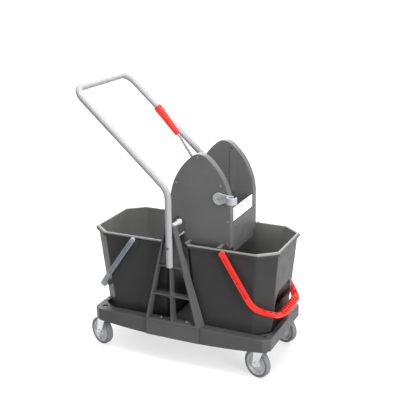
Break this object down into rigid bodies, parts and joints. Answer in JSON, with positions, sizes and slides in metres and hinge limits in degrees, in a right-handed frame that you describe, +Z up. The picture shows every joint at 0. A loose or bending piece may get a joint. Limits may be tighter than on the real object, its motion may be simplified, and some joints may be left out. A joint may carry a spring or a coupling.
{
  "type": "double mop bucket trolley",
  "caption": "Wheeled mop trolley with a pair of lift-out buckets, a bent-tube push handle between side towers and a lever wringer standing in one bucket.",
  "frame": {"origin": "on the floor, under the middle of the whole outline at rest", "axes": "+X along the trolley from the push handle to the red bail, +Y from the lever side to the other side, +Z up"},
  "size_m": [0.7252, 0.374, 0.942],
  "materials": {
    "dark_plastic": "fine grain",
    "bucket_plastic": "satin",
    "housing_plastic": "fine grain",
    "grey_tube": "satin powder coat",
    "zinc": "bright zinc",
    "lever_steel": "plain steel",
    "black_bolt": "black oxide",
    "red_plastic": "satin gloss",
    "grey_plastic": "satin",
    "light_plastic": "satin",
    "white_plastic": "satin gloss",
    "tyre": "matte grey rubber"
  },
  "bodies": {
    "trolley": {"deck": "dark_plastic", "front_tower": "dark_plastic", "rear_tower": "dark_plastic", "tower_screws": "zinc", "push_handle": "grey_tube", "handle_bolts": "black_bolt", "locating_pegs": "light_plastic", "caster_bolts": "zinc", "caster_heads": "zinc"},
    "left_bucket": {"left_bucket": "bucket_plastic"},
    "left_bail": {"left_bail": "grey_plastic"},
    "right_bucket": {"right_bucket": "bucket_plastic"},
    "right_bail": {"right_bail": "red_plastic"},
    "wringer": {"front_cover": "housing_plastic", "front_shell": "housing_plastic", "rear_cover": "housing_plastic", "rear_shell": "housing_plastic", "front_cover_screws": "lever_steel", "rear_cover_screws": "lever_steel", "end_panel": "housing_plastic", "press_plate": "white_plastic", "tie_rods": "zinc", "mop_clip": "light_plastic", "clip_screw": "zinc"},
    "lever": {"lever_shaft": "zinc", "lever_gear": "light_plastic", "lever_rod": "lever_steel", "lever_grip": "red_plastic"},
    "jaw": {"jaw_shaft": "zinc", "jaw_gear": "light_plastic", "press_jaw": "dark_plastic"},
    "swivel_front_left": {"fork_front_left": "zinc", "axle_front_left": "zinc"},
    "wheel_front_left": {"hub_front_left": "light_plastic", "tyre_front_left": "tyre"},
    "swivel_front_right": {"fork_front_right": "zinc", "axle_front_right": "zinc"},
    "wheel_front_right": {"hub_front_right": "light_plastic", "tyre_front_right": "tyre"},
    "swivel_rear_left": {"fork_rear_left": "zinc", "axle_rear_left": "zinc"},
    "wheel_rear_left": {"hub_rear_left": "light_plastic", "tyre_rear_left": "tyre"},
    "swivel_rear_right": {"fork_rear_right": "zinc", "axle_rear_right": "zinc"},
    "wheel_rear_right": {"hub_rear_right": "light_plastic", "tyre_rear_right": "tyre"}
  },
  "joints": [
    {"name": "swivel_front_left", "type": "hinge", "parent": "trolley", "child": "swivel_front_left", "pos_m": [-0.2925, -0.135, 0.11], "axis": [0, 0, 1], "continuous": true},
    {"name": "roll_front_left", "type": "hinge", "parent": "swivel_front_left", "child": "wheel_front_left", "pos_m": [-0.31411, -0.12713, 0.05], "axis": [0.342, 0.9397, 0], "continuous": true},
    {"name": "swivel_front_right", "type": "hinge", "parent": "trolley", "child": "swivel_front_right", "pos_m": [0.3075, -0.135, 0.11], "axis": [0, 0, 1], "continuous": true},
    {"name": "roll_front_right", "type": "hinge", "parent": "swivel_front_right", "child": "wheel_front_right", "pos_m": [0.28589, -0.12713, 0.05], "axis": [0.342, 0.9397, 0], "continuous": true},
    {"name": "swivel_rear_left", "type": "hinge", "parent": "trolley", "child": "swivel_rear_left", "pos_m": [-0.2925, 0.135, 0.11], "axis": [0, 0, 1], "continuous": true},
    {"name": "roll_rear_left", "type": "hinge", "parent": "swivel_rear_left", "child": "wheel_rear_left", "pos_m": [-0.31411, 0.14287, 0.05], "axis": [0.342, 0.9397, 0], "continuous": true},
    {"name": "swivel_rear_right", "type": "hinge", "parent": "trolley", "child": "swivel_rear_right", "pos_m": [0.3075, 0.135, 0.11], "axis": [0, 0, 1], "continuous": true},
    {"name": "roll_rear_right", "type": "hinge", "parent": "swivel_rear_right", "child": "wheel_rear_right", "pos_m": [0.28589, 0.14287, 0.05], "axis": [0.342, 0.9397, 0], "continuous": true},
    {"name": "left_bucket_lift", "type": "slide", "parent": "trolley", "child": "left_bucket", "axis": [0, 0, 1], "range_m": [0, 0.05]},
    {"name": "right_bucket_lift", "type": "slide", "parent": "trolley", "child": "right_bucket", "axis": [0, 0, 1], "range_m": [0, 0.25]},
    {"name": "left_bail_swing", "type": "hinge", "parent": "left_bucket", "child": "left_bail", "pos_m": [-0.1565, 0, 0.43], "axis": [0, 1, 0], "range_deg": [0, 125]},
    {"name": "right_bail_swing", "type": "hinge", "parent": "right_bucket", "child": "right_bail", "pos_m": [0.1715, 0, 0.43], "axis": [0, -1, 0], "range_deg": [0, 125]},
    {"name": "wringer_lift", "type": "slide", "parent": "right_bucket", "child": "wringer", "axis": [0, 0, 1], "range_m": [0, 0.2]},
    {"name": "lever_pull", "type": "hinge", "parent": "wringer", "child": "lever", "pos_m": [0.09724, -0.1015, 0.64622], "axis": [0, -1, 0], "range_deg": [0, 45], "stiffness_Nm_per_rad": 1, "springref_deg": -20.05},
    {"name": "jaw_press", "type": "hinge", "parent": "wringer", "child": "jaw", "pos_m": [0.0475, 0, 0.4525], "axis": [0, 1, 0], "range_deg": [0, 30.05]}
  ],
  "couplings": [
    {"joint": "jaw_press", "follows": "lever_pull", "ratio": 0.66667}
  ]
}
